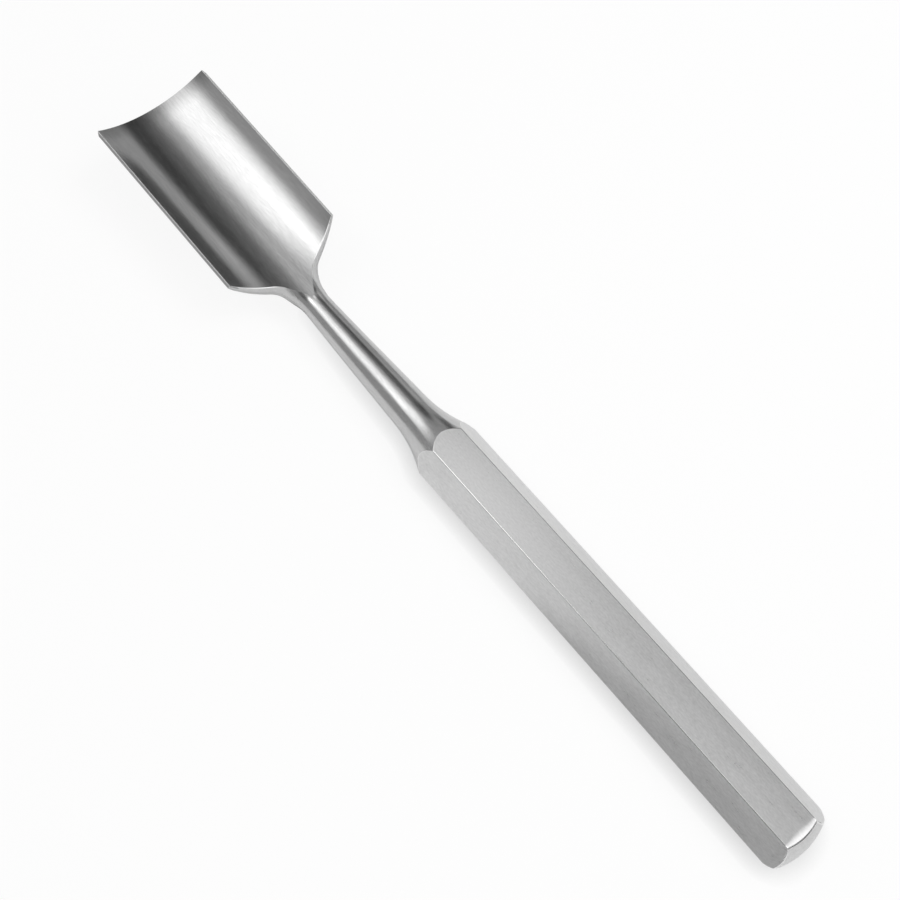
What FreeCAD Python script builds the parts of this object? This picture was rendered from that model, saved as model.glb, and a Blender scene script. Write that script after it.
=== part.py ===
import FreeCAD, Part
import math
import os
from FreeCAD import Placement, Rotation, Vector

# Bone gouge, one piece of stainless steel, millimetres.
# It lies on one flat of its hexagonal handle: +X points to the cutting edge, +Z is up,
# and the origin is under the middle of its box. Stations along X are measured from the butt.

overall_length = 241.1          # butt to the middle of the cutting edge

# Handle: hexagonal bar with one flat down and one flat up
across_flats = 15.4
ridge_radius = 0.35             # the small rounding of the six long ridges
handle_length = 122.3           # butt to the tip of the arch in front of each flat
butt_dome_radius = 18.3         # shallow dome that closes the butt
butt_dome_drop = 2.65           # its highest point is ground a little below the axis
butt_rounding_radius = 7.0      # each flat rolls over into the butt
butt_rounding_start = 5.5       # where that roll begins
butt_rounding_turn = 58.0       # degrees, past the crisp edge of the dome

# Neck: a flare off the handle, a slim cone, then a slight upward bend
flare_angle = 24.0              # degrees, the slope that cuts the flats into arches
flare_radius = 33.0             # hollow curve between flare and cone
neck_tip_radius = 3.65          # slimmest place, at the heel of the blade
neck_taper = 2.33               # degrees, half angle of the cone
bend_start = 151.1
heel_station = 171.1            # end of the bend, where the blade's own axis begins
blade_pitch = 3.4               # degrees, rise of the blade's axis over the handle's

# Shoulders: the neck opens like a trumpet, and the trough cuts its top away
entry_radius = 13.0             # first, gentle curve out of the neck
entry_turn = 30.0               # degrees
throat_radius = 6.0             # second, tighter curve
shoulder_angle = 66.0           # degrees, slope of the shoulder face

# Blade: a thin crescent around a straight trough
blade_width = 32.8              # over the outer corners of the rims
trough_radius = 24.7
rim_thickness = 1.0             # flat land on each rim, square to the wall
heel_drop = 0.06                # the trough's floor passes this far over the slimmest neck
wall_at_heel = 3.7              # under the middle of the trough
wall_at_edge = 1.9
keel_length = 30.0              # the neck runs on as a keel under the blade and fades out
keel_margin = 0.15              # the keel starts this much below the slimmest neck
keel_blend = 0.7                # softness of the hollow between keel and back

# Cutting edge: one outside bevel, ground a little raked and askew
bevel_angle = 30.0              # degrees
edge_rake = 13.5                # degrees, the rims stand back from the middle
edge_skew = 2.5                 # degrees, the left corner stands a little forward

apothem = across_flats / 2.0
ridge_reach = apothem / math.cos(math.radians(30.0))
spare = 2.0                     # how far a cutting body passes what it cuts
tan_pitch = math.tan(math.radians(blade_pitch))
x_axis, y_axis, z_axis = Vector(1, 0, 0), Vector(0, 1, 0), Vector(0, 0, 1)


def on_side(x, z):
    """A point of a side view, on the plane through the axis."""
    return Vector(x, 0.0, z)


def arc_point(center, radius, degrees):
    """Point of a circle in the side view; 0 degrees is +X and 90 degrees is +Z."""
    angle = math.radians(degrees)
    return on_side(center.x + radius * math.cos(angle), center.z + radius * math.sin(angle))


def arc(center, radius, start, end):
    """Edge along a circle in the side view, from one angle to the other."""
    first = arc_point(center, radius, start)
    middle = arc_point(center, radius, (start + end) / 2.0)
    last = arc_point(center, radius, end)
    return Part.Arc(first, middle, last).toShape()


def line(first, last):
    return Part.LineSegment(first, last).toShape()


def closed_face(edges):
    return Part.Face(Part.Wire(edges))


def turned(edges):
    """Full turn of a half section about the X axis."""
    return closed_face(edges).revolve(Vector(0, 0, 0), x_axis, 360.0)


def neck_radius(x):
    """Radius of the neck's cone at a station, measured along its axis."""
    return neck_tip_radius + (heel_station - x) * math.tan(math.radians(neck_taper))


def flat_pair():
    """Space between two opposite flats, with the roll of both flats at the butt."""
    center = on_side(butt_rounding_start, apothem - butt_rounding_radius)
    top = arc_point(center, butt_rounding_radius, 90.0)
    roll_end = arc_point(center, butt_rounding_radius, 90.0 + butt_rounding_turn)
    run_out = roll_end.x - roll_end.z / math.tan(math.radians(butt_rounding_turn))
    front = on_side(heel_station, apothem)
    upper = [
        line(front, top),
        arc(center, butt_rounding_radius, 90.0, 90.0 + butt_rounding_turn),
        line(roll_end, on_side(run_out, 0.0)),
    ]
    lower = [edge.mirror(Vector(0, 0, 0), z_axis) for edge in upper]
    closing = line(on_side(front.x, -apothem), front)
    face = closed_face(Part.sortEdges(upper + lower + [closing])[0])
    face.translate(y_axis * -across_flats)
    return face.extrude(y_axis * (2.0 * across_flats))


def hexagonal_bar():
    """Bar with rounded ridges and rolled butt ends on all six flats."""
    corners = []
    for corner in range(7):
        angle = math.radians(60.0 * corner)
        corners.append(Vector(-spare, ridge_reach * math.cos(angle), ridge_reach * math.sin(angle)))
    bar = Part.Face(Part.makePolygon(corners)).extrude(x_axis * (heel_station + spare))
    ridges = [edge for edge in bar.Edges if edge.BoundBox.XLength > across_flats]
    bar = bar.makeFillet(ridge_radius, ridges)
    for turn in range(3):
        pair = flat_pair()
        pair.rotate(Vector(0, 0, 0), x_axis, 60.0 * turn)
        bar = bar.common(pair)
    return bar


def butt_dome():
    """Everything in front of the ground dome of the butt."""
    outside = ridge_reach + butt_dome_drop + spare
    center = on_side(butt_dome_radius, 0.0)
    dome_angle = math.degrees(math.asin(outside / butt_dome_radius))
    rim = arc_point(center, butt_dome_radius, 180.0 - dome_angle)
    body = turned([
        arc(center, butt_dome_radius, 180.0, 180.0 - dome_angle),
        line(rim, on_side(heel_station, outside)),
        line(on_side(heel_station, outside), on_side(heel_station, 0.0)),
        line(on_side(heel_station, 0.0), on_side(0.0, 0.0)),
    ])
    body.translate(z_axis * -butt_dome_drop)
    return body


def handle_and_cone():
    """The bar inside its turned outline: flare off the flats, hollow curve, slim cone."""
    flare = math.radians(flare_angle)
    taper = math.radians(neck_taper)
    outside = ridge_reach + spare
    # The flare line and the cone line cross here, and the hollow curve touches both
    cross_x = (apothem + handle_length * math.tan(flare) - neck_radius(0.0)) / (
        math.tan(flare) - math.tan(taper)
    )
    cross = on_side(cross_x, neck_radius(cross_x))
    reach = flare_radius * math.tan((flare - taper) / 2.0)
    flare_touch = on_side(cross.x - reach * math.cos(flare), cross.z + reach * math.sin(flare))
    flare_top = on_side(flare_touch.x - (outside - flare_touch.z) / math.tan(flare), outside)
    hollow_center = on_side(
        flare_touch.x + flare_radius * math.sin(flare),
        flare_touch.z + flare_radius * math.cos(flare),
    )
    hollow = arc(hollow_center, flare_radius, 270.0 - flare_angle, 270.0 - neck_taper)
    cone_touch = arc_point(hollow_center, flare_radius, 270.0 - neck_taper)
    cone_end = on_side(bend_start, neck_radius(bend_start))
    outline = turned([
        line(on_side(-spare, 0.0), on_side(-spare, outside)),
        line(on_side(-spare, outside), flare_top),
        line(flare_top, flare_touch),
        hollow,
        line(cone_touch, cone_end),
        line(cone_end, on_side(bend_start, 0.0)),
        line(on_side(bend_start, 0.0), on_side(-spare, 0.0)),
    ])
    return outline.common(hexagonal_bar()).common(butt_dome())


def bend_end():
    """Center of the neck at the end of its bend."""
    pitch = math.radians(blade_pitch)
    bend_radius = (heel_station - bend_start) / math.sin(pitch)
    return on_side(heel_station, bend_radius * (1.0 - math.cos(pitch)))


def blade_place():
    """The blade's own frame: its X axis is pitched up at the heel."""
    return Placement(bend_end(), Rotation(y_axis, -blade_pitch))


def bent_neck():
    """Round neck swept along an arc, from the cone to the heel."""
    half_pitch = math.radians(blade_pitch) / 2.0
    start = on_side(bend_start, 0.0)
    end = bend_end()
    chord = (end - start).Length
    sag = chord / 2.0 * math.tan(half_pitch / 2.0)
    middle = (start + end) * 0.5 + on_side(math.sin(half_pitch), -math.cos(half_pitch)) * sag
    path = Part.Wire(Part.Arc(start, middle, end).toShape())
    big = Part.Wire(Part.makeCircle(neck_radius(bend_start), start, x_axis))
    small = Part.Wire(Part.makeCircle(neck_tip_radius, end, blade_place().Rotation.multVec(x_axis)))
    return path.makePipeShell([big, small], True, False)


# From here on, heights and stations are in the blade's own frame.

floor = neck_tip_radius + heel_drop
trough_center = floor + trough_radius
rim_angle = math.asin(blade_width / 2.0 / (trough_radius + rim_thickness))
edge_station = (overall_length - heel_station) / math.cos(math.radians(blade_pitch)) + floor * tan_pitch


def across_wall(x, radius):
    """Point on the line that carries the right rim's land, at a radius about the trough's axis."""
    return Vector(x, radius * math.sin(rim_angle), trough_center - radius * math.cos(rim_angle))


def shoulders():
    """Trumpet that opens from the neck to the full width of the blade."""
    rim = across_wall(0.0, trough_radius + rim_thickness)
    outside = math.hypot(rim.y, rim.z) + spare
    entry_center = on_side(0.0, neck_tip_radius + entry_radius)
    entry_end = arc_point(entry_center, entry_radius, 270.0 + entry_turn)
    turn = math.radians(entry_turn)
    throat_center = on_side(
        entry_end.x - throat_radius * math.sin(turn),
        entry_end.z + throat_radius * math.cos(turn),
    )
    throat_end = arc_point(throat_center, throat_radius, 270.0 + shoulder_angle)
    slope = math.tan(math.radians(shoulder_angle))
    face_end = on_side(throat_end.x + (outside - throat_end.z) / slope, outside)
    tip = edge_station + spare
    return turned([
        line(on_side(0.0, 0.0), on_side(0.0, neck_tip_radius)),
        arc(entry_center, entry_radius, 270.0, 270.0 + entry_turn),
        arc(throat_center, throat_radius, 270.0 + entry_turn, 270.0 + shoulder_angle),
        line(throat_end, face_end),
        line(face_end, on_side(tip, outside)),
        line(on_side(tip, outside), on_side(tip, 0.0)),
        line(on_side(tip, 0.0), on_side(0.0, 0.0)),
    ])


def wall(x):
    """Thickness under the middle of the trough at a station of the blade."""
    return wall_at_heel + (wall_at_edge - wall_at_heel) * x / edge_station


def back_height(x, y):
    """Underside of the blade: soft lower bound of a wide arc through the rims and a keel."""
    rim = across_wall(x, trough_radius + rim_thickness)
    middle = floor - wall(x)
    rise = rim.z - middle
    back_radius = (rim.y ** 2 + rise ** 2) / (2.0 * rise)
    arc_height = middle + back_radius - math.sqrt(back_radius ** 2 - y ** 2)
    share = min(max(x / keel_length, 0.0), 1.0)
    ease = share * share * (3.0 - 2.0 * share)
    start = neck_tip_radius + keel_margin
    keel_height = -start + (start + floor) * ease + y ** 2 / (2.0 * start)
    gap = abs(arc_height - keel_height) / keel_blend
    return min(arc_height, keel_height) - keel_blend * math.log1p(math.exp(-gap))


def above_back():
    """Everything above the formed underside of the blade."""
    half_width = blade_width / 2.0 + rim_thickness
    length = edge_station + 2.0 * spare
    rows, columns = 26, 32
    grid = []
    for row in range(rows + 1):
        x = -spare + length * row / rows
        across = [half_width * (2.0 * column / columns - 1.0) for column in range(columns + 1)]
        grid.append([Vector(x, y, back_height(x, y)) for y in across])
    underside = Part.BSplineSurface()
    underside.interpolate(grid)
    return underside.toShape().extrude(z_axis * (2.0 * blade_width))


def between_lands():
    """Long block whose upper edges carry the flat lands of both rims."""
    right_low = across_wall(-spare, trough_radius + 3.0 * rim_thickness)
    right_top = across_wall(-spare, trough_radius - rim_thickness)
    bottom = Vector(-spare, right_low.y, -blade_width)
    half = [bottom, right_low, right_top]
    other = [Vector(point.x, -point.y, point.z) for point in reversed(half)]
    outline = Part.makePolygon(half + other + [bottom])
    return Part.Face(outline).extrude(x_axis * (edge_station + 2.0 * spare))


def trough():
    start = on_side(0.0, trough_center)
    return Part.makeCylinder(trough_radius, edge_station + 2.0 * spare, start, x_axis)


def bevel():
    """Cone about the trough's axis, widest behind the edge, turned to the edge's rake and skew."""
    grow = math.tan(math.radians(bevel_angle))
    back, front = overall_length, trough_radius / 2.0
    start = on_side(edge_station - back, trough_center)
    cone = Part.makeCone(trough_radius + back * grow, trough_radius - front * grow, back + front, start, x_axis)
    middle = on_side(edge_station, floor)
    cone.rotate(middle, y_axis, -edge_rake)
    cone.rotate(middle, z_axis, -edge_skew)
    return cone


def blade():
    body = shoulders().common(between_lands()).common(above_back())
    body = body.cut(trough()).common(bevel())
    body.Placement = blade_place().multiply(body.Placement)
    return body


def gouge():
    """The whole tool, laid on one flat with the origin under the middle of its box."""
    tool = handle_and_cone().fuse([bent_neck(), blade()]).removeSplitter()
    tool = tool.Solids[0]
    box = tool.optimalBoundingBox(False, False)
    tool.translate(Vector(-box.Center.x, -box.Center.y, apothem))
    return tool


os.makedirs("parts", exist_ok=True)
tool = gouge()
tool.exportStep("parts/gouge.step")
box = tool.optimalBoundingBox(False, False)
print("gouge", tool.isValid(), len(tool.Solids), len(tool.Faces), "faces, volume", round(tool.Volume, 1))
print("box", [round(v, 3) for v in (box.XMin, box.XMax, box.YMin, box.YMax, box.ZMin, box.ZMax)])
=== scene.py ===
# %% [markdown]
# # A bone gouge of polished steel
# A bone gouge is a surgeon's hand tool: a hexagonal steel bar that is turned down to a
# slim neck and opens into a wide, hollow blade with a sharp front edge. This lesson loads
# the tool's solid model, works out a much finer surface for it with numpy, gives that
# surface its ground and polished finishes, and sets up the studio.

# %% Open the frame
import math
import bpy
import numpy as np
from mathutils import Matrix, Vector


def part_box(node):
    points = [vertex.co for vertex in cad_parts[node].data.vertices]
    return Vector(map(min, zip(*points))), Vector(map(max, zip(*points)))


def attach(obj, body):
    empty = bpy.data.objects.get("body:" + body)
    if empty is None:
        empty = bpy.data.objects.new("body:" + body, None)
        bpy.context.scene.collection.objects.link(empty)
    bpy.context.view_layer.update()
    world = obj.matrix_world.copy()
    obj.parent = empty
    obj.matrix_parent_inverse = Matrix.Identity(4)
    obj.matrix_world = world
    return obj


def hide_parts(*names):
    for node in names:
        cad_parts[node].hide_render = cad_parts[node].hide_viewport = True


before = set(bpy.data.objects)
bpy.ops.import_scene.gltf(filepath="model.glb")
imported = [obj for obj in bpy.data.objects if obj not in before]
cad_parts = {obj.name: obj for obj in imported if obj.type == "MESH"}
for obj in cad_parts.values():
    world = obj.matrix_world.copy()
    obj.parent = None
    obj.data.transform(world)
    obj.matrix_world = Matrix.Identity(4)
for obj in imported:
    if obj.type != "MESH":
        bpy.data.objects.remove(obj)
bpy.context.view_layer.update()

# %% [markdown]
# ## The camera
# The camera comes first, because every later look is judged through it. It could be
# placed by eye, but a fitted camera is exact: these angles, distance and lens make the
# model's outline fall on the photograph's outline. A small roll turns the picture in its
# own plane. The matrix's columns are the camera's right, up and backward directions.

# %% Camera
VIEW_AZIMUTH = math.radians(230.71)
VIEW_ELEVATION = math.radians(68.44)
VIEW_ROLL = math.radians(-0.56)
VIEW_DISTANCE = 0.2997
VIEW_TARGET = Vector((-0.000974, -0.00064, 0.008))
LENS = 49.75
NEAREST_SEEN = 0.01


def camera_matrix(azimuth, elevation, roll, target, distance):
    """Back = the direction from the target to the camera; right and up are rolled about it."""
    level = math.cos(elevation)
    back = Vector((math.sin(azimuth) * level, -math.cos(azimuth) * level, math.sin(elevation)))
    right = Vector((math.cos(azimuth), math.sin(azimuth), 0.0))
    up = back.cross(right)
    rolled_right = right * math.cos(roll) + up * math.sin(roll)
    rolled_up = up * math.cos(roll) - right * math.sin(roll)
    matrix = Matrix((rolled_right, rolled_up, back)).transposed().to_4x4()
    matrix.translation = target + back * distance
    return matrix


camera_data = bpy.data.cameras.new("camera")
camera_data.lens = LENS
camera_data.clip_start = NEAREST_SEEN
camera = bpy.data.objects.new("camera", camera_data)
camera.matrix_world = camera_matrix(
    VIEW_AZIMUTH, VIEW_ELEVATION, VIEW_ROLL, VIEW_TARGET, VIEW_DISTANCE)
bpy.context.collection.objects.link(camera)
bpy.context.scene.camera = camera
print("camera at, millimetres:", [round(1000 * side, 1) for side in camera.location])

# %% [markdown]
# ## The tool's sizes
# All sizes are in millimetres, in the tool's own frame: X runs along the handle from the
# butt to the cutting edge, and Z is up. The solid model has the same sizes, so the finer
# surface lies on it. Steel shows every flaw of a coarse mesh in its reflections, which is
# why the piece is worked out again and not only shaded.

# %% Sizes
OVERALL_LENGTH = 241.1
ACROSS_FLATS = 15.4
RIDGE_RADIUS = 0.35
FLAT_CROWN = 0.05
HANDLE_LENGTH = 122.3
DOME_RADIUS = 18.3
DOME_DROP = 2.65
ROLL_RADIUS = 7.0
ROLL_START = 5.5
FLARE_ANGLE = math.radians(24.0)
FLARE_RADIUS = 33.0
NECK_TIP_RADIUS = 3.65
NECK_TAPER = math.radians(2.33)
BEND_START = 151.1
HEEL_STATION = 171.1
BLADE_PITCH = math.radians(3.4)
ENTRY_RADIUS = 13.0
ENTRY_TURN = math.radians(30.0)
THROAT_RADIUS = 6.0
SHOULDER_ANGLE = math.radians(66.0)
BLADE_WIDTH = 32.8
TROUGH_RADIUS = 24.7
RIM_THICKNESS = 1.0
HEEL_DROP = 0.06
WALL_AT_HEEL = 3.7
WALL_AT_EDGE = 1.9
KEEL_LENGTH = 30.0
KEEL_MARGIN = 0.15
KEEL_BLEND = 0.7
BEVEL_ANGLE = math.radians(30.0)
EDGE_RAKE = math.radians(13.5)
EDGE_SKEW = math.radians(2.5)

APOTHEM = ACROSS_FLATS / 2
FLOOR = NECK_TIP_RADIUS + HEEL_DROP
TROUGH_CENTER = FLOOR + TROUGH_RADIUS
RIM_ANGLE = math.asin(BLADE_WIDTH / 2 / (TROUGH_RADIUS + RIM_THICKNESS))
BLADE_REACH = (OVERALL_LENGTH - HEEL_STATION) / math.cos(BLADE_PITCH)
EDGE_STATION = BLADE_REACH + FLOOR * math.tan(BLADE_PITCH)
print("cutting edge at", round(EDGE_STATION, 2), "mm from the heel")

# %% [markdown]
# ## Where two surfaces meet
# Most edges of this tool are meetings of two surfaces, such as a flat with a cone. Some
# could be solved by algebra, but halving an interval finds all of them the same way: the
# point moves along a line, and each step keeps the half in which it changes sides. Numpy
# does this for a whole row of points at once.


# %% Halving
HALVINGS = 50


def crossing(inside, low, high):
    """Where `inside` turns false between low and high: each step keeps one half."""
    low = np.array(low, float)
    high = np.array(high, float)
    for _ in range(HALVINGS):
        middle = (low + high) / 2
        keep = inside(middle)
        low = np.where(keep, middle, low)
        high = np.where(keep, high, middle)
    return (low + high) / 2


def steps(count):
    """A column of evenly spaced numbers from 0 to 1."""
    return np.linspace(0, 1, count + 1)[:, None]


# %% [markdown]
# ## The columns of the handle
# The handle's surface is a grid: rows run round the bar and columns run along it. A
# column is an angle about the axis, measured from the top. The columns crowd together at
# the six ridges, because their small rounding needs them, and each flat has one column
# close to its border, which keeps the flat's shading flat.

# %% Columns
SIDE = math.radians(60.0)
FLAT_COLUMNS = 8
RIDGE_COLUMNS = 8
BORDER = 0.06
half_flat = (APOTHEM - RIDGE_RADIUS) * math.tan(SIDE / 2)
flat_angle = math.atan(half_flat / APOTHEM)


def half_turn():
    """Angles from -90 to 90 degrees: half a flat's ridge, then flat and ridge by turns."""
    inner = np.linspace(BORDER - half_flat, half_flat - BORDER, FLAT_COLUMNS - 1)
    flat = np.arctan(np.concatenate([[-half_flat], inner, [half_flat]]) / APOTHEM)
    ridge = np.linspace(-1, 1, RIDGE_COLUMNS + 1) * (SIDE / 2 - flat_angle)
    half = RIDGE_COLUMNS // 2
    runs = [-1.5 * SIDE + ridge[half:-1]]
    for turn in (-1, 0, 1):
        after = ridge[:-1] if turn < 1 else ridge[:half]
        runs += [turn * SIDE + flat[:-1], (turn + 0.5) * SIDE + after]
    return np.concatenate(runs)


upper_columns = half_turn()
HALF_COLUMNS = len(upper_columns)
handle_angles = np.concatenate([upper_columns, upper_columns + math.pi])
print("columns round the handle:", len(handle_angles))


# %% [markdown]
# The section of the bar is a hexagon with softly rounded ridges. Polishing also leaves
# its flats a few hundredths of a millimetre high in their middle. Nobody sees that as a
# shape, but a mirror shows it: the shade then changes a little across each flat.

# %% The hexagon with rounded ridges
def off_flat(angle):
    """Angle to the middle of the nearest flat."""
    return angle - np.round(angle / SIDE) * SIDE


def bar_radius(angle):
    """Flat: apothem / cos(angle). Ridge: the far crossing with a small circle in the corner.
    Both sink by the crown, which grows as the square of the way from the flat's middle."""
    off = off_flat(angle)
    to_ridge = SIDE / 2 - np.abs(off)
    corner = (APOTHEM - RIDGE_RADIUS) / math.cos(SIDE / 2)
    reach = np.maximum(RIDGE_RADIUS**2 - (corner * np.sin(to_ridge)) ** 2, 0)
    rounded = corner * np.cos(to_ridge) + np.sqrt(reach)
    radius = np.where(np.abs(off) > flat_angle, rounded, APOTHEM / np.cos(off))
    crown = FLAT_CROWN * np.minimum(np.tan(np.abs(off)) / math.tan(flat_angle), 1.0) ** 2
    return radius - crown


def around(station, radius, angle):
    """Points at a station, radius and angle about the tool's axis."""
    station, radius, angle = np.broadcast_arrays(station, radius, angle)
    return np.stack([station, radius * np.sin(angle), radius * np.cos(angle)], -1)


# %% [markdown]
# ## The butt
# At the butt each flat rolls over in a soft arc, and the end is a shallow dome that was
# ground a little low of the axis. The edge between them is crisp. The grid is therefore
# two bands: the dome from its middle to that edge, and the roll from the edge to the
# straight flats.


# %% Dome and roll
def roll_station(radius, angle):
    """Station of the rolled flat: its height falls along an arc of the roll's radius."""
    height = radius * np.cos(off_flat(angle))
    side = np.minimum(height - APOTHEM + ROLL_RADIUS, ROLL_RADIUS)
    return ROLL_START - np.sqrt(ROLL_RADIUS**2 - side**2)


def rolled_radius(station, angle):
    """The lesser of the bar and the rolled flat."""
    back = np.maximum(ROLL_START - station, 0)
    height = APOTHEM - ROLL_RADIUS + np.sqrt(ROLL_RADIUS**2 - back**2)
    return np.minimum(bar_radius(angle), height / np.cos(off_flat(angle)))


def dome_station(radius, angle):
    """Station on the sphere whose middle is lower than the axis by the drop."""
    height = radius * np.cos(angle) + DOME_DROP
    side = radius * np.sin(angle)
    return DOME_RADIUS - np.sqrt(DOME_RADIUS**2 - height**2 - side**2)


DOME_ROWS = 12
ROLL_ROWS = 14
butt_edge = crossing(
    lambda radius: roll_station(radius, handle_angles) < dome_station(radius, handle_angles),
    np.zeros_like(handle_angles), bar_radius(handle_angles))
butt_edge_station = dome_station(butt_edge, handle_angles)
dome_radii = steps(DOME_ROWS) * butt_edge
dome = around(dome_station(dome_radii, handle_angles), dome_radii, handle_angles)
roll_stations = butt_edge_station + (ROLL_START - butt_edge_station) * steps(ROLL_ROWS)
roll_radii = rolled_radius(roll_stations, handle_angles)
roll_radii[0] = butt_edge
roll = around(roll_stations, roll_radii, handle_angles)
print("butt edge, mm off the axis:", round(butt_edge.min(), 2), "to", round(butt_edge.max(), 2))

# %% [markdown]
# ## The flats, the flare and the neck
# In front the bar was turned on a lathe: a straight flare, a hollow curve and a slim cone.
# Where the flare meets a flat the edge is an arch. Each column has its own point on that
# arch, so the grid's rows bend with it and the edge stays crisp.

# %% Turned profile
flare_slope = math.tan(FLARE_ANGLE)
taper_slope = math.tan(NECK_TAPER)


def cone_radius(station):
    """A straight line that reaches the neck's tip radius at the heel."""
    return NECK_TIP_RADIUS + (HEEL_STATION - station) * taper_slope


corner_rise = APOTHEM + HANDLE_LENGTH * flare_slope - cone_radius(0.0)
corner_station = corner_rise / (flare_slope - taper_slope)
hollow_reach = FLARE_RADIUS * math.tan((FLARE_ANGLE - NECK_TAPER) / 2)
hollow_start = corner_station - hollow_reach * math.cos(FLARE_ANGLE)
hollow_start_radius = cone_radius(corner_station) + hollow_reach * math.sin(FLARE_ANGLE)
hollow_station = hollow_start + FLARE_RADIUS * math.sin(FLARE_ANGLE)
hollow_height = hollow_start_radius + FLARE_RADIUS * math.cos(FLARE_ANGLE)
cone_start = hollow_station - FLARE_RADIUS * math.sin(NECK_TAPER)


def turned_radius(station):
    """Line, then hollow arc, then cone."""
    line = hollow_start_radius + (hollow_start - station) * flare_slope
    depth = np.sqrt(np.maximum(FLARE_RADIUS**2 - (station - hollow_station) ** 2, 0))
    hollow = hollow_height - depth
    slim = np.where(station < cone_start, hollow, cone_radius(station))
    return np.where(station < hollow_start, line, slim)


def turned_station(radius):
    """The same profile the other way round: the station at which it has a radius."""
    line = hollow_start - (radius - hollow_start_radius) / flare_slope
    depth = np.sqrt(np.maximum(FLARE_RADIUS**2 - (hollow_height - radius) ** 2, 0))
    return np.where(radius > hollow_start_radius, line, hollow_station - depth)


# %% [markdown]
# The arches need no drawing of their own: the lathe's profile is read the other way
# round, and gives the station at which the turned surface has the bar's radius.

# %% Flats and flare
FLAT_ROWS = 24
FLARE_ROWS = 26
bar = bar_radius(handle_angles)
arch_station = turned_station(bar)
flats = around(ROLL_START + (arch_station - ROLL_START) * steps(FLAT_ROWS), bar, handle_angles)
flare_stations = arch_station + (cone_start - arch_station) * steps(FLARE_ROWS)
flare_radii = turned_radius(flare_stations)
flare_radii[0] = bar
flare = around(flare_stations, flare_radii, handle_angles)
print("arches, mm from the butt:", round(arch_station.min(), 1), "to", round(arch_station.max(), 1))

# %% [markdown]
# Along the slim cone the columns slide from the handle's spacing to the one that the
# blade needs: half of them above and half below the two lines that touch the neck from
# the trough's axis. Then the neck bends up a little along an arc.

# %% Cone and bend
CONE_ROWS = 14
BEND_ROWS = 14
BEND_RADIUS = (HEEL_STATION - BEND_START) / math.sin(BLADE_PITCH)
BLADE_LIFT = BEND_RADIUS * (1 - math.cos(BLADE_PITCH))
touch_angle = math.acos(NECK_TIP_RADIUS / TROUGH_CENTER)
neck_angles = np.concatenate([
    np.linspace(-touch_angle, touch_angle, HALF_COLUMNS, endpoint=False),
    np.linspace(touch_angle, 2 * math.pi - touch_angle, HALF_COLUMNS, endpoint=False)])
cone_stations = cone_start + (BEND_START - cone_start) * steps(CONE_ROWS)
slide = np.angle(np.exp(1j * (neck_angles - handle_angles))) * steps(CONE_ROWS)
cone = around(cone_stations, cone_radius(cone_stations), handle_angles + slide)


def bend_surface():
    """A circle that narrows evenly while it is carried along the arc."""
    turn = BLADE_PITCH * steps(BEND_ROWS)
    radius = cone_radius(BEND_START + (HEEL_STATION - BEND_START) * steps(BEND_ROWS))
    up = radius * np.cos(neck_angles)
    side = radius * np.sin(neck_angles)
    station = BEND_START + (BEND_RADIUS - up) * np.sin(turn)
    return np.stack([station, side, BEND_RADIUS * (1 - np.cos(turn)) + up * np.cos(turn)], -1)


bend = bend_surface()
print("neck at the heel:", round(2 * NECK_TIP_RADIUS, 2), "mm thick")

# %% [markdown]
# ## The blade's surfaces
# The blade has its own frame, tipped up by the pitch at the heel. A trumpet of revolution
# opens from the neck to the blade's full width; the trough is a round hollow that cuts
# its top away; the back is a flatter arc with a keel that fades out. Each is a formula in
# that frame.

# %% Trumpet
entry_end = ENTRY_RADIUS * math.sin(ENTRY_TURN)
entry_end_radius = NECK_TIP_RADIUS + ENTRY_RADIUS * (1 - math.cos(ENTRY_TURN))
throat_station = entry_end - THROAT_RADIUS * math.sin(ENTRY_TURN)
throat_height = entry_end_radius + THROAT_RADIUS * math.cos(ENTRY_TURN)
throat_end = throat_station + THROAT_RADIUS * math.sin(SHOULDER_ANGLE)
throat_end_radius = throat_height - THROAT_RADIUS * math.cos(SHOULDER_ANGLE)


def trumpet_station(radius):
    """Station of the trumpet at a radius: entry arc, tighter throat arc, straight face."""
    rise = NECK_TIP_RADIUS + ENTRY_RADIUS - radius
    entry = np.sqrt(np.maximum(ENTRY_RADIUS**2 - rise**2, 0))
    depth = np.sqrt(np.maximum(THROAT_RADIUS**2 - (throat_height - radius) ** 2, 0))
    face = throat_end + (radius - throat_end_radius) / math.tan(SHOULDER_ANGLE)
    wide = np.where(radius < throat_end_radius, throat_station + depth, face)
    return np.where(radius < entry_end_radius, entry, wide)


def on_trumpet(side, height):
    """The trumpet's point that is seen at a place across the blade."""
    return np.stack([trumpet_station(np.hypot(side, height)), side, height], -1)


# %% [markdown]
# The underside can't be a second trough: its arc is flatter, so the wall is thickest in
# the middle and thins towards the rims and the edge. Below the heel the neck's round
# runs on as a keel, which strengthens the blade there. A soft minimum joins the two
# without a crease, as a grinder's hand does.

# %% Back with its keel
def from_trough(distance, angle):
    """Side and height of a point at a distance from the trough's axis."""
    return distance * np.sin(angle), TROUGH_CENTER - distance * np.cos(angle)


def back_height(station, side):
    """A wide arc through the rims and the wall's middle, softly joined to a sinking parabola."""
    wall = WALL_AT_HEEL + (WALL_AT_EDGE - WALL_AT_HEEL) * station / EDGE_STATION
    rim_side, rim_height = from_trough(TROUGH_RADIUS + RIM_THICKNESS, RIM_ANGLE)
    middle = FLOOR - wall
    rise = rim_height - middle
    radius = (rim_side**2 + rise**2) / (2 * rise)
    wide = middle + radius - np.sqrt(radius**2 - side**2)
    share = np.clip(station / KEEL_LENGTH, 0, 1)
    depth = NECK_TIP_RADIUS + KEEL_MARGIN
    keel = (depth + FLOOR) * share**2 * (3 - 2 * share) - depth + side**2 / (2 * depth)
    blend = KEEL_BLEND * np.log1p(np.exp(-np.abs(wide - keel) / KEEL_BLEND))
    return np.minimum(wide, keel) - blend


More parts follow.
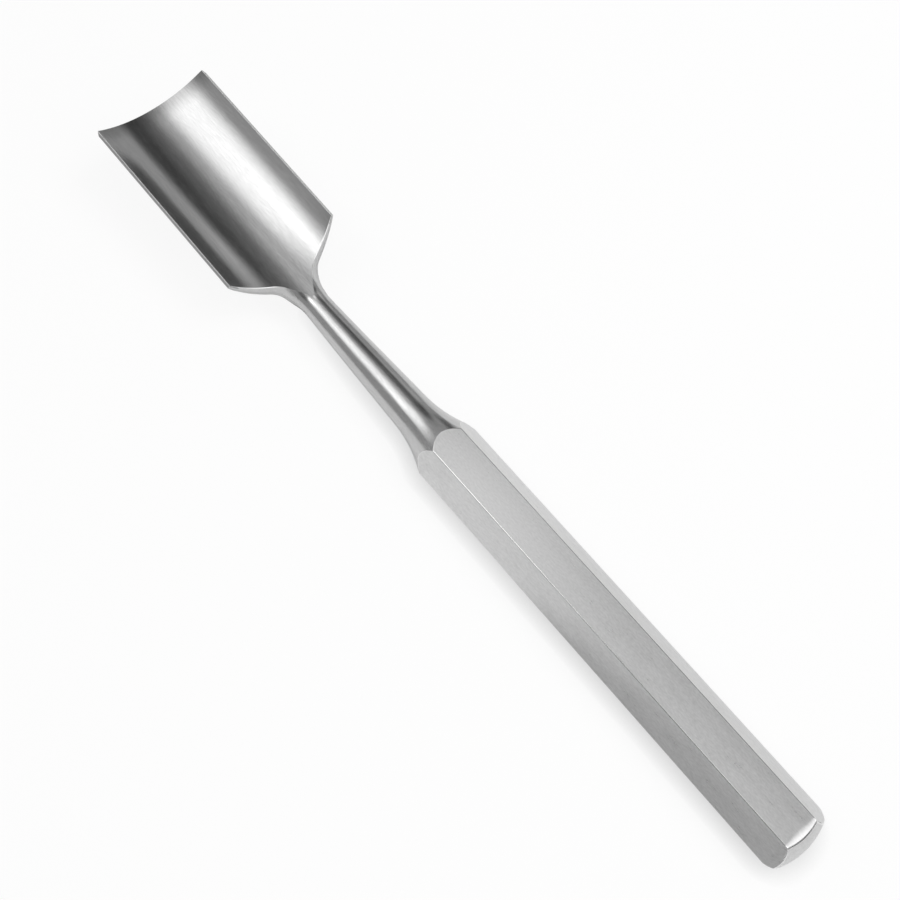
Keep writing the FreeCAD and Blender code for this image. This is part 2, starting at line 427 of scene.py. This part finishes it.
# %% [markdown]
# The edge is sharpened from below only, by a stone that follows the round of the blade.
# That cuts a cone about the trough's axis. It leans by the edge's rake and is turned by
# its skew, so the point is turned back first and then tested against a plain cone.

# %% Grinding cone of the edge
def turned_about(first, second, angle):
    """Two coordinates turned by an angle in their plane."""
    cos, sin = math.cos(angle), math.sin(angle)
    return first * cos - second * sin, first * sin + second * cos


def in_bevel(station, side, height):
    """True inside the cone that grinds the edge, undone from its skew and its rake."""
    along, side = turned_about(station - EDGE_STATION, side, EDGE_SKEW)
    up, along = turned_about(height - FLOOR, along, EDGE_RAKE)
    radius = np.hypot(side, up + FLOOR - TROUGH_CENTER)
    return radius < TROUGH_RADIUS - along * math.tan(BEVEL_ANGLE)


# %% [markdown]
# ## The blade's grid
# One grid of columns crosses the blade from rim to rim, as rays from the trough's axis.
# The middle columns end on the neck, half above and half below it; the others, on the
# wings, run round its sides. The same columns carry the shoulders, the trough, the back
# and the bevel, so neighbours share their border points exactly.

# %% Columns across the blade
WING_COLUMNS = 44
UPPER_STEPS = np.array([0.0, 0.4, 0.6, 0.8, 1.0])[:, None]
LOWER_STEPS = np.array([0.0, 0.12, 0.24, 0.36, 0.48, 0.6, 1.0])[:, None]
ACROSS_STEPS = np.concatenate([UPPER_STEPS / 2, 0.5 + LOWER_STEPS[1:] / 2])
BLADE_ROWS = 90
BEYOND = 8.0
touch_theta = math.asin(NECK_TIP_RADIUS / TROUGH_CENTER)
wing = np.linspace(touch_theta, RIM_ANGLE, WING_COLUMNS + 1)


def neck_rays(angles):
    """Angle and distance of points on the neck's circle, seen from the trough's axis."""
    side = NECK_TIP_RADIUS * np.sin(angles)
    drop = TROUGH_CENTER - NECK_TIP_RADIUS * np.cos(angles)
    return np.arctan2(side, drop), np.hypot(side, drop)


def outside(theta):
    """Distance along each ray at which the trumpet reaches the back."""
    def above(distance):
        side, height = from_trough(distance, theta)
        return height > back_height(trumpet_station(np.hypot(side, height)), side)
    farthest = np.full_like(theta, TROUGH_CENTER + BEYOND)
    return crossing(above, np.full_like(theta, TROUGH_RADIUS), farthest)


def with_wings(left, middle, right):
    """A row across the blade: the left wing from its rim inwards, the middle, the right wing."""
    return np.concatenate([left[:0:-1], middle, right[1:]])


over = np.linspace(-touch_angle, touch_angle, HALF_COLUMNS + 1)
under = np.linspace(2 * math.pi - touch_angle, touch_angle, HALF_COLUMNS + 1)
upper_theta, upper_distance = neck_rays(over)
lower_theta, lower_distance = neck_rays(under)
top_rays = with_wings(-wing, upper_theta, wing)
low_rays = with_wings(-wing, lower_theta, wing)
print("columns across the blade:", len(top_rays))

# %% [markdown]
# The shoulders are what the trough leaves of the trumpet: from the S-shaped edges at the
# trough, round the neck, to the back. Each column is a ray, so its points only need
# their distances, and the trumpet's formula gives where along the blade they lie.

# %% Shoulders
back_distance = outside(low_rays)
wing_back = outside(wing)
touch_distance = math.sqrt(TROUGH_CENTER**2 - NECK_TIP_RADIUS**2)
touch_share = (touch_distance - TROUGH_RADIUS) / (wing_back[0] - TROUGH_RADIUS)
share = np.interp(wing, [touch_theta, RIM_ANGLE], [touch_share, 0.5])
wing_middle = TROUGH_RADIUS + share * (wing_back - TROUGH_RADIUS)
top_middle = with_wings(wing_middle, upper_distance, wing_middle)
low_middle = with_wings(wing_middle, lower_distance, wing_middle)
top_distance = TROUGH_RADIUS + (top_middle - TROUGH_RADIUS) * UPPER_STEPS
low_distance = low_middle + (back_distance - low_middle) * LOWER_STEPS
shoulder_top = on_trumpet(*from_trough(top_distance, top_rays))
shoulder_low = on_trumpet(*from_trough(low_distance, low_rays))
print("shoulders reach", round(shoulder_low[..., 0].max(), 2), "mm in front of the heel")


# %% [markdown]
# The trough and the back run forwards from the shoulders until the grinding cone cuts
# them; the bevel joins their ends, and a flat land closes each rim. They could be cut
# with Boolean modifiers, but rows that end on the edge itself keep it perfectly clean.

# %% Trough, back, bevel and lands
def to_edge(start, side, height_at):
    """Columns that run forwards from a start to the grinding cone."""
    farthest = np.full_like(start, EDGE_STATION + BEYOND)
    end = crossing(lambda x: in_bevel(x, side, height_at(x)), start, farthest)
    station = start + (end - start) * steps(BLADE_ROWS)
    return np.stack(np.broadcast_arrays(station, side, height_at(station)), -1)


trough_side, trough_height = from_trough(TROUGH_RADIUS, top_rays)
trough = to_edge(shoulder_top[0, :, 0], trough_side, lambda x: trough_height)
back_side = shoulder_low[-1, :, 1]
back = to_edge(shoulder_low[-1, :, 0], back_side, lambda x: back_height(x, back_side))
back[0] = shoulder_low[-1]
across = ACROSS_STEPS[..., None]
bevel = trough[-1] * (1 - across) + back[-1] * across


def land(column):
    """The flat strip on a rim: straight lines from the trough to the back."""
    cross = across[:, 0].T[..., None]
    strip = trough[:, column, None] * (1 - cross) + back[:, column, None] * cross
    strip[0] = np.concatenate([shoulder_top[:, column], shoulder_low[1:, column]])
    strip[-1] = bevel[:, column]
    return strip


left_land = land(0)
right_land = land(-1)
print("cutting edge reaches", round(trough[-1, :, 0].max(), 2), "mm in front of the heel")

# %% [markdown]
# ## One closed mesh
# The bands become one mesh. Points on shared borders are equal, so they are merged by
# their coordinates, and the result has to be closed: every edge has two faces. The edges
# between two bands are marked sharp where the real tool has an edge, and left smooth
# where one curve runs on into the next.

# %% Bands into one mesh
SMOOTH_RUNS = (("roll", "flats"), ("flare", "cone"), ("cone", "bend"),
               ("bend", "shoulder_top"), ("bend", "shoulder_low"), ("shoulder_top", "shoulder_low"))
WELD_DECIMALS = 5
MM = 0.001
low_corner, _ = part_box("gouge")
origin = np.array([low_corner.x, 0.0, low_corner.z + APOTHEM * MM])


def to_tool(points):
    """From the blade's frame to the tool's: turned by the pitch and lifted."""
    station, side, height = np.moveaxis(points, -1, 0)
    x = HEEL_STATION + station * math.cos(BLADE_PITCH) - height * math.sin(BLADE_PITCH)
    z = BLADE_LIFT + station * math.sin(BLADE_PITCH) + height * math.cos(BLADE_PITCH)
    return np.stack([x, side, z], -1)


def closed(band):
    """A band round the tool, with its first column again at the end."""
    return np.concatenate([band, band[:, :1]], 1)


def grid_faces(band, flip):
    """Four corners of each cell; the order turns the face outwards."""
    rows, columns = band.shape[:2]
    index = np.arange(rows * columns).reshape(rows, columns)
    corners = [index[:-1, :-1], index[1:, :-1], index[1:, 1:], index[:-1, 1:]]
    cells = np.stack(corners, -1).reshape(-1, 4)
    return cells[:, ::-1] if flip else cells


bands = {
    "dome": (closed(dome), False), "roll": (closed(roll), False), "flats": (closed(flats), False),
    "flare": (closed(flare), False), "cone": (closed(cone), False), "bend": (closed(bend), False),
    "shoulder_top": (to_tool(shoulder_top), True), "shoulder_low": (to_tool(shoulder_low), True),
    "trough": (to_tool(trough), False), "back": (to_tool(back), True),
    "bevel": (to_tool(bevel), False),
    "left_land": (to_tool(left_land), True), "right_land": (to_tool(right_land), False),
}
names = list(bands)
print("bands:", names)


# %% [markdown]
# Where a grid runs into a point, as in the middle of the dome, its cells have only three
# different corners. Those become triangles, because a face with a doubled corner would
# shade as a dark speck.

# %% Welding
def welded(bands):
    """Points merged by coordinates, faces without double corners, and each face's band."""
    starts = np.cumsum([0] + [band.shape[0] * band.shape[1] for band, flip in bands.values()])
    points = np.concatenate([band.reshape(-1, 3) for band, flip in bands.values()])
    faces = [grid_faces(band, flip) + start
             for (band, flip), start in zip(bands.values(), starts)]
    owner = np.repeat(np.arange(len(faces)), [len(cells) for cells in faces])
    _, first, merged = np.unique(
        points.round(WELD_DECIMALS), axis=0, return_index=True, return_inverse=True)
    return points[first], merged.ravel()[np.concatenate(faces)], owner


def gouge_mesh(bands):
    """The mesh in metres, in the frame of the solid model, with its sharp edges marked."""
    points, faces, owner = welded(bands)
    points = points * MM + origin
    double = faces == np.roll(faces, -1, 1)
    order = np.argsort(double.any(1), kind="stable")
    plain = np.count_nonzero(~double.any(1))
    pole = faces[order[plain:]]
    keep = ~double[order[plain:]]
    polygons = faces[order[:plain]].tolist() + pole[keep].reshape(-1, 3).tolist()
    mesh = bpy.data.meshes.new("gouge_steel")
    mesh.from_pydata(points, [], polygons)
    mesh.polygons.foreach_set("use_smooth", np.ones(len(mesh.polygons), bool))
    return mesh, owner[order]


mesh, owner = gouge_mesh(bands)
print("vertices:", len(mesh.vertices))


# %% [markdown]
# Smooth shading would run over every edge and melt it, and flat shading would show the
# grid. So each edge of the mesh learns which bands meet there: it stays smooth inside a
# band and where a curve runs on, and is sharp at all other meetings.

# %% Sharp edges
def mark_sharp(mesh, owner):
    """An edge is sharp where its two faces belong to bands that don't run on into each other."""
    edge_of_loop = np.zeros(len(mesh.loops), np.int32)
    mesh.loops.foreach_get("edge_index", edge_of_loop)
    sizes = np.zeros(len(mesh.polygons), np.int32)
    mesh.polygons.foreach_get("loop_total", sizes)
    band_of_loop = np.repeat(owner, sizes)
    lowest = np.full(len(mesh.edges), len(names))
    highest = np.full(len(mesh.edges), -1)
    np.minimum.at(lowest, edge_of_loop, band_of_loop)
    np.maximum.at(highest, edge_of_loop, band_of_loop)
    smooth = lowest == highest
    for one, other in SMOOTH_RUNS:
        smooth |= (lowest == names.index(one)) & (highest == names.index(other))
    mesh.attributes.new("sharp_edge", "BOOLEAN", "EDGE").data.foreach_set("value", ~smooth)
    return np.bincount(edge_of_loop, minlength=len(mesh.edges)), lowest, highest


faces_at_edge, lowest_band, highest_band = mark_sharp(mesh, owner)
print("open or crowded edges:", int((faces_at_edge != 2).sum()))

# %% [markdown]
# ## Broken edges
# On real steel no edge but the cutting edge is left as sharp as the model's: a buff takes
# a fraction of a millimetre off, and that narrow strip is the bright line on every rim; its
# finish adds a painted highlight to that line.
# A Bevel modifier does this with a width of its own for each kind of edge. On the
# shoulders it fades out towards the heel, where the steel is too thin for it.

# %% Rounding of each edge
WIDEST_ROUNDING = 0.32
ROUNDING = {
    ("dome", "roll"): 0.2, ("flats", "flare"): 0.1,
    ("shoulder_top", "trough"): 0.32, ("shoulder_low", "back"): 0.28,
    ("trough", "left_land"): 0.14, ("trough", "right_land"): 0.14,
    ("back", "left_land"): 0.14, ("back", "right_land"): 0.14,
    ("shoulder_top", "left_land"): 0.1, ("shoulder_top", "right_land"): 0.1,
    ("shoulder_low", "left_land"): 0.1, ("shoulder_low", "right_land"): 0.1,
}
FADE_FROM = 4.0
FADE_OVER = 3.0
ROUNDING_SEGMENTS = 2


def vertex_places(mesh):
    """Coordinates of all vertices, in metres."""
    places = np.zeros(len(mesh.vertices) * 3)
    mesh.vertices.foreach_get("co", places)
    return places.reshape(-1, 3)


def rounding_weights(mesh):
    """Each edge's share of the widest rounding; on the blade it grows with |y| from the heel."""
    ends = np.zeros(len(mesh.edges) * 2, np.int32)
    mesh.edges.foreach_get("vertices", ends)
    side = np.abs(vertex_places(mesh)[ends.reshape(-1, 2), 1]).min(1) / MM
    fade = np.clip((side - FADE_FROM) / FADE_OVER, 0, 1)
    weights = np.zeros(len(mesh.edges))
    for (one, other), width in ROUNDING.items():
        pair = sorted((names.index(one), names.index(other)))
        at = (lowest_band == pair[0]) & (highest_band == pair[1])
        weights[at] = width / WIDEST_ROUNDING * (fade[at] if "shoulder" in one else 1.0)
    return weights


weights = rounding_weights(mesh)
mesh.attributes.new("bevel_weight_edge", "FLOAT", "EDGE").data.foreach_set("value", weights)
print("rounded edges:", int((weights > 0).sum()))
gouge = bpy.data.objects.new("gouge_steel", mesh)
bpy.context.collection.objects.link(gouge)
rounding = gouge.modifiers.new("broken_edges", "BEVEL")
rounding.limit_method = "WEIGHT"
rounding.width = WIDEST_ROUNDING * MM
rounding.segments = ROUNDING_SEGMENTS
rounding.use_clamp_overlap = False
rounding.harden_normals = True
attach(gouge, "root")
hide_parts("gouge")
print("faces before rounding:", len(mesh.polygons))


# %% [markdown]
# ## Shader maths
# Finishes are written as expressions. One small class wraps a socket and adds Math nodes
# when it is added, subtracted or multiplied, and one method adds any other node. Wiring
# the nodes by hand would give the same trees, but a formula is easier to read and change.

# %% Sockets as values
class Socket:
    """A node's output that can be used in Python expressions."""

    def __init__(self, graph, socket):
        self.graph = graph
        self.socket = socket

    def __add__(self, other):
        return self.graph.math("ADD", self, other)

    def __sub__(self, other):
        return self.graph.math("SUBTRACT", self, other)

    def __rsub__(self, other):
        return self.graph.math("SUBTRACT", other, self)

    def __mul__(self, other):
        return self.graph.math("MULTIPLY", self, other)


class Graph:
    """The node tree of one material or world."""

    def __init__(self, tree):
        self.tree = tree
        tree.nodes.clear()

    def node(self, kind, settings=None, inputs=None, output=0):
        """Adds a node: first its settings, then the values or links of its sockets."""
        node = self.tree.nodes.new(kind)
        for name, value in (settings or {}).items():
            setattr(node, name, value)
        for name, value in (inputs or {}).items():
            if isinstance(value, Socket):
                self.tree.links.new(value.socket, node.inputs[name])
            else:
                node.inputs[name].default_value = value
        return Socket(self, node.outputs[output]) if node.outputs else None

    def math(self, operation, *values):
        """A Math node on values or numbers."""
        return self.node("ShaderNodeMath", {"operation": operation}, dict(enumerate(values)))


def new_material(name):
    """An empty material and the graph that fills it."""
    material = bpy.data.materials.new(name)
    material.use_nodes = True
    return material, Graph(material.node_tree)


def grey(level):
    """The colour of a grey level."""
    return (level, level, level, 1.0)


# %% [markdown]
# ## Ground and polished steel
# Steel has no colour of its own to speak of. What tells its finishes apart is how far each
# one scatters a reflection, and the fine marks that the belt or the buff left. A picture
# of brushed steel could be used, but noise has no seams and keeps its size in millimetres.
# The noise is stretched along the marks; it varies the shade and raises a very low bump,
# and a second, cloudier noise stands for the uneven pressure of a hand.

# %% Noise in millimetres
LINE_DETAIL = 2.0
CLOUD_DETAIL = 3.0


def millimetres(graph):
    """Object coordinates in millimetres."""
    place = graph.node("ShaderNodeTexCoord", output="Object")
    return graph.node("ShaderNodeVectorMath", {"operation": "SCALE"}, {0: place, "Scale": 1.0 / MM})


def stretched_noise(graph, place, grain, detail):
    """Noise about zero whose grains have the given length along X, Y and Z, in millimetres."""
    scale = tuple(1.0 / length for length in grain)
    spot = graph.node("ShaderNodeVectorMath", {"operation": "MULTIPLY"}, {0: place, 1: scale})
    noise = graph.node("ShaderNodeTexNoise", {}, {"Vector": spot, "Scale": 1.0, "Detail": detail})
    return noise - 0.5


def smooth_step(graph, value, start, end):
    """Rises softly from 0 at the start to 1 at the end, which may be the lower of the two."""
    return graph.node("ShaderNodeMapRange", {"interpolation_type": "SMOOTHSTEP"}, {
        "Value": value, "From Min": start, "From Max": end})


# %% [markdown]
# Parts of one surface get painted light and shade in zones. The trough is painted darker
# along its cutting edge and at the heel, a painted shade where its bright reflection
# fades, and is a little rougher there; the handle is painted brighter in front, a painted
# light. Each such zone starts and ends at a distance from the cutting edge, which the
# mesh carries as an attribute. The shader could work it out from X alone, but the edge
# is curved, so the distance follows the edge's own line.

# %% Distance from the cutting edge
places = vertex_places(mesh)
edge_line = to_tool(trough)[-1] * MM + origin
edge_x = np.interp(places[:, 1], edge_line[:, 1], edge_line[:, 0])
from_edge = (edge_x - places[:, 0]) / MM
mesh.attributes.new("from_edge", "FLOAT", "POINT").data.foreach_set("value", from_edge)
print("farthest from the edge:", round(from_edge.max(), 1), "mm")

# %% [markdown]
# All finishes share one recipe, because they are all the same steel: marks and clouds
# change its shade and its gloss a little, and the marks also raise the bump. Only the
# numbers differ, so one function makes them all.

# %% Steel
CLOUD_GLOSS = 0.10
LINE_GLOSS = 0.06


def steel(name, shade, roughness, grain, depth, contrast, cloud, cloudiness, zones=()):
    """Steel with marks of a size (grain) and height (depth) in mm and their effect on the
    shade (contrast), clouds of a size and effect, and zones: start and end in mm from the
    cutting edge, with the painted shading (painted light above zero, painted shade below)
    and the roughness that are added past the end."""
    material, graph = new_material(name)
    place = millimetres(graph)
    lines = stretched_noise(graph, place, grain, LINE_DETAIL)
    clouds = stretched_noise(graph, place, cloud, CLOUD_DETAIL)
    tone = lines * contrast + clouds * cloudiness + shade
    gloss = clouds * CLOUD_GLOSS + lines * LINE_GLOSS + roughness
    for start, end, painted_shading, more_roughness in zones:
        distance = graph.node("ShaderNodeAttribute", {"attribute_name": "from_edge"}, output="Fac")
        zone = smooth_step(graph, distance, start, end)
        # The zone's painted shading: painted light on the handle's front, painted shade on the
        # trough.
        tone = tone + zone * painted_shading
        gloss = gloss + zone * more_roughness
    colour = graph.node("ShaderNodeCombineColor", {}, {0: tone, 1: tone, 2: tone})
    normal = graph.node("ShaderNodeBump", {}, {
        "Height": lines, "Strength": 1.0, "Distance": depth * MM})
    surface = graph.node("ShaderNodeBsdfPrincipled", {}, {
        "Base Color": colour, "Metallic": 1.0, "Roughness": gloss, "Normal": normal})
    graph.node("ShaderNodeOutputMaterial", {}, {"Surface": surface})
    return material


# %% [markdown]
# Six finishes cover the tool. The handle is satin, the neck is polished, and the trough
# has long polishing lines. The bevel is ground across, and the back is left plainer and
# painted darker, a painted shade. Worn edges are nearly mirrors and are painted brighter,
# a painted highlight. A lower roughness makes a tighter reflection, and long, narrow
# marks make a brushed look.

# %% Six finishes
FINISHES = (
    # name, shade, roughness, marks' size, height and contrast, clouds' size and contrast, zones
    ("satin_handle", 0.62, 0.30, (1.0, 0.35, 0.35), 0.0005, 0.24, (7.0, 1.5, 1.5), 0.14,
     # The handle's zone is painted light: its front is painted brighter, where more light falls.
     [(180.0, 130.0, 0.06, 0.0)]),
    ("polished_neck", 0.57, 0.21, (1.6, 0.22, 0.22), 0.0009, 0.20, (16.0, 1.1, 1.1), 0.14),
    ("brushed_trough", 0.62, 0.15, (22.0, 0.13, 0.13), 0.0008, 0.26, (14.0, 1.3, 1.3), 0.06,
     # The trough's zones are painted shade: darker at the cutting edge and towards the heel, where
     # its bright reflection fades; a little rougher there as well.
     [(6.0, 0.0, -0.22, 0.05), (44.0, 66.0, -0.17, 0.08)]),
    ("ground_bevel", 0.62, 0.25, (0.12, 6.0, 6.0), 0.0020, 0.12, (2.0, 4.0, 4.0), 0.10),
    # This finish is painted darker than the other steel, a painted shade where the underside, the
    # lower shoulders and the left land mirror the table that the blade shades.
    ("satin_back_shaded", 0.50, 0.30, (4.0, 0.25, 0.25), 0.0008, 0.18, (9.0, 1.6, 1.6), 0.10),
    # Worn edges are glossier, and their shade is raised above the rest of the steel: a painted
    # highlight.
    ("worn_edge_highlight", 0.74, 0.13, (1.5, 1.5, 1.5), 0.0005, 0.06, (3.0, 3.0, 3.0), 0.06),
)
finishes = [steel(*finish) for finish in FINISHES]
for finish in finishes:
    mesh.materials.append(finish)
print("finishes:", [finish.name for finish in finishes])

# %% [markdown]
# ## Which finish goes where
# Each band of the mesh has one finish, so its faces can be painted by their band. Edges
# that hands and buffs reach are worn glossier and painted brighter, a painted highlight:
# the rounded ridges of the handle, and every strip that the Bevel modifier adds. The
# ridges are found by their angle about the axis.

# %% Finish of each face
HANDLE, NECK, TROUGH, BEVEL, SHADED_BACK, WORN_HIGHLIGHT = range(len(finishes))
# The left land takes the darker back finish, a painted shade, while the right land keeps the neck's
# brighter one.
FINISH_OF_BAND = {
    "dome": HANDLE, "roll": HANDLE, "flats": HANDLE, "flare": NECK, "cone": NECK, "bend": NECK,
    "shoulder_top": NECK, "shoulder_low": SHADED_BACK, "trough": TROUGH, "back": SHADED_BACK, "bevel": BEVEL,
    "left_land": SHADED_BACK, "right_land": NECK}


def on_ridge(mesh):
    """Faces whose middle, seen from the handle's axis, is past the flat part of its side."""
    middles = np.zeros(len(mesh.polygons) * 3)
    mesh.polygons.foreach_get("center", middles)
    _, side, height = middles.reshape(-1, 3).T
    angle = np.arctan2(side, height - origin[2])
    straight = np.isin(owner, [names.index("roll"), names.index("flats")])
    return straight & (np.abs(off_flat(angle)) > flat_angle)


painted = np.array([FINISH_OF_BAND[name] for name in names])[owner]
# The ridges get the worn finish: glossier, with a painted highlight.
painted[on_ridge(mesh)] = WORN_HIGHLIGHT
mesh.polygons.foreach_set("material_index", painted)
# The Bevel modifier's strips get the same finish and its painted highlight.
rounding.material = WORN_HIGHLIGHT
print("faces of each finish:", np.bincount(painted).tolist())

# %% [markdown]
# ## The table
# The tool lies on a white table, which fades into the white background. A plain white
# surface turns grey under soft light, so to the camera most of the table's white is its
# own, and the rest takes the lamp's shading, which leaves a soft shadow. Where steel and
# table nearly touch, a little more shade is added from how open the place is to the sky.

# %% Table
TABLE_SIZE = 3.0
TABLE_GREY = 0.92
WHITE_SHARE = 0.88
GLOSSY_SHARE = 0.1
FAR_FROM = 0.25
FAR_TO = 0.8
CONTACT_REACH = 0.006
CONTACT_SHADE = 0.5
CONTACT_SAMPLES = 8


def table_material():
    """A mix of matt paint and its own white; the white's share grows to 1 far away."""
    material, graph = new_material("white_table")
    seen = (graph.node("ShaderNodeLightPath", output="Is Camera Ray")
            + graph.node("ShaderNodeLightPath", output="Is Glossy Ray") * GLOSSY_SHARE)
    place = graph.node("ShaderNodeTexCoord", output="Object")
    distance = graph.node(
        "ShaderNodeVectorMath", {"operation": "LENGTH"}, {0: place}, output="Value")
    share = smooth_step(graph, distance, FAR_FROM, FAR_TO) * (1.0 - WHITE_SHARE) + WHITE_SHARE
    sky = graph.node(
        "ShaderNodeAmbientOcclusion", {"samples": CONTACT_SAMPLES}, {"Distance": CONTACT_REACH},
        output="AO")
    shade = 1.0 - (1.0 - sky) * CONTACT_SHADE
    matt = graph.node("ShaderNodeBsdfDiffuse", {}, {"Color": grey(TABLE_GREY)})
    white = graph.node("ShaderNodeEmission", {}, {"Color": grey(1.0), "Strength": shade})
    mixed = graph.node("ShaderNodeMixShader", {}, {0: seen * share, 1: matt, 2: white})
    graph.node("ShaderNodeOutputMaterial", {}, {"Surface": mixed})
    return material


bpy.ops.mesh.primitive_plane_add(size=TABLE_SIZE)
table = bpy.context.object
table.name = "white_table"
table.data.materials.append(table_material())
print("table:", TABLE_SIZE, "m square")

# %% [markdown]
# ## The surround
# Polished steel shows what is around it, so its look is made by the surround more than by
# the lamp. Softboxes could be built as objects; here they are soft round patches of the
# world, each with a direction, an inner angle of full light and an outer angle where it
# ends. One large patch makes the white band in the trough and the stripe on the neck. The
# dark side opposite, above a low wall, gives the dark bands beside them, and two patches
# that take light away, one on each side of the tool, darken its flanks. The camera itself
# sees plain white.

# %% Surround
HORIZON_LIGHT = 0.38
ZENITH_LIGHT = 0.50
ZENITH_PATCH = (0.0, 90.0, 40.0, 50.0)
LEAST_LIGHT = 0.06
SOFT_PATCHES = (
    # azimuth from +Y towards +X, elevation, inner angle, outer angle, added light
    (60.0, 55.0, 3.0, 26.0, 1.05),
    (70.0, 34.0, 6.0, 17.0, 0.45),
    (29.0, 62.0, 0.0, 11.0, 2.3),
    (-102.0, 42.0, 5.0, 34.0, 1.45),
    (201.0, 83.0, 0.0, 6.0, 1.7),
    (132.0, 72.0, 0.0, 8.0, 1.3),
    (161.0, 32.0, 0.0, 12.0, 0.38),
    (-4.0, 46.0, 2.0, 20.0, -0.32),
    (177.0, 38.0, 2.0, 17.0, -0.28),
)
DARK_PATCH = (136.0, 45.0, 4.0, 22.0)
DARK_SHARE = 0.37
WALL_EDGE = (28.0, 31.0)
SAMPLE_MAP_SIDE = 512


def pointing(azimuth, elevation):
    """Unit vector at a compass angle from +Y towards +X and a height above the horizon."""
    turn, rise = math.radians(azimuth), math.radians(elevation)
    return (math.sin(turn) * math.cos(rise), math.cos(turn) * math.cos(rise), math.sin(rise))


def patch(graph, direction, azimuth, elevation, inner, outer):
    """1 within the inner angle of a direction, 0 beyond the outer angle, by their cosines."""
    toward = graph.node("ShaderNodeVectorMath", {"operation": "DOT_PRODUCT"},
                        {0: direction, 1: pointing(azimuth, elevation)}, output="Value")
    start, end = [math.cos(math.radians(angle)) for angle in (outer, inner)]
    return smooth_step(graph, toward, start, end)


def surround_light(graph):
    """The light from each direction: zenith and horizon, patches, and the dark side."""
    direction = graph.node("ShaderNodeTexCoord", output="Generated")
    zenith = patch(graph, direction, *ZENITH_PATCH)
    light = zenith * (ZENITH_LIGHT - HORIZON_LIGHT) + HORIZON_LIGHT
    for azimuth, elevation, inner, outer, added in SOFT_PATCHES:
        light = light + patch(graph, direction, azimuth, elevation, inner, outer) * added
    height = graph.node("ShaderNodeSeparateXYZ", {}, {0: direction}, output="Z")
    low, high = [math.sin(math.radians(edge)) for edge in WALL_EDGE]
    above_wall = smooth_step(graph, height, low, high)
    light = light - patch(graph, direction, *DARK_PATCH) * above_wall * DARK_SHARE
    return graph.math("MAXIMUM", light, LEAST_LIGHT)


world = bpy.data.worlds.new("studio")
bpy.context.scene.world = world
world.use_nodes = True
graph = Graph(world.node_tree)
light = surround_light(graph)
camera_ray = graph.node("ShaderNodeLightPath", output="Is Camera Ray")
background = graph.node("ShaderNodeBackground", {}, {
    "Color": grey(1.0), "Strength": light * (1.0 - camera_ray) + camera_ray})
graph.node("ShaderNodeOutputWorld", {}, {"Surface": background})
world.cycles.sampling_method = "MANUAL"
world.cycles.sample_map_resolution = SAMPLE_MAP_SIDE
bpy.context.scene.view_settings.view_transform = "Standard"
print("patches of light:", len(SOFT_PATCHES))

# %% [markdown]
# ## Dark cards
# Photographers stand dark cards beside shiny tools, to give a reflection a crisp edge. A
# patch of the world is too far away for that, so three cards stand close by, unseen by
# the camera: one darkens the left rim of the trough and ends in a wedge at its tip, and
# one draws the dark line round the end. The third is a grey sheet flat on the table beside
# the butt's left side, a painted shadow: it stands in for the table's shadow there, which
# the handle's left flat mirrors.

# %% Cards
CARDS = {
    # name: shade, and corners in metres
    "rim_card": (0.13, ((0.115, -0.118, 0.022), (0.198, -0.118, 0.022),
                        (0.188, -0.118, 0.064), (0.105, -0.118, 0.064))),
    # A painted shadow: a grey sheet on the table where it lies in shade, seen only in reflections.
    "floor_shadow_card": (0.53, ((-0.2, 0.013, 0.0005), (-0.028, 0.013, 0.0005),
                         (-0.1, 0.09, 0.0005), (-0.2, 0.09, 0.0005))),
    "end_card": (0.1, ((-0.22, -0.07, 0.0), (-0.22, 0.06, 0.0),
                       (-0.22, 0.06, 0.03), (-0.22, -0.07, 0.03))),
}


def paper(name, shade):
    """Plain matt paper."""
    material, graph = new_material(name)
    matt = graph.node("ShaderNodeBsdfDiffuse", {}, {"Color": grey(shade)})
    graph.node("ShaderNodeOutputMaterial", {}, {"Surface": matt})
    return material


for name, (shade, corners) in CARDS.items():
    card_mesh = bpy.data.meshes.new(name)
    card_mesh.from_pydata(corners, [], [(0, 1, 2, 3)])
    card_mesh.materials.append(paper(name, shade))
    card = bpy.data.objects.new(name, card_mesh)
    card.visible_camera = card.visible_diffuse = card.visible_shadow = False
    bpy.context.collection.objects.link(card)
print("cards:", list(CARDS))

# %% [markdown]
# ## The lamp
# One soft round lamp stands above the butt, a little to the right. It lays the tool's soft
# shadow to the lower left. Steel would mirror it as a hard white disc, so it is hidden
# from reflections, which the surround makes alone.

# %% Lamp
LAMP_PLACE = Vector((-0.16, -0.26, 0.55))
LAMP_AIM = Vector((-0.04, 0.0, 0.0))
LAMP_SIZE = 0.28
LAMP_WATTS = 1.1
lamp_data = bpy.data.lights.new("softbox", "AREA")
lamp_data.shape = "DISK"
lamp_data.size = LAMP_SIZE
lamp_data.energy = LAMP_WATTS
lamp = bpy.data.objects.new("softbox", lamp_data)
lamp.matrix_world = Matrix.Translation(LAMP_PLACE) @ (
    LAMP_PLACE - LAMP_AIM).to_track_quat("Z", "Y").to_matrix().to_4x4()
lamp.visible_glossy = False
bpy.context.collection.objects.link(lamp)
print("lamp:", round((LAMP_PLACE - LAMP_AIM).length, 2), "m from its aim")
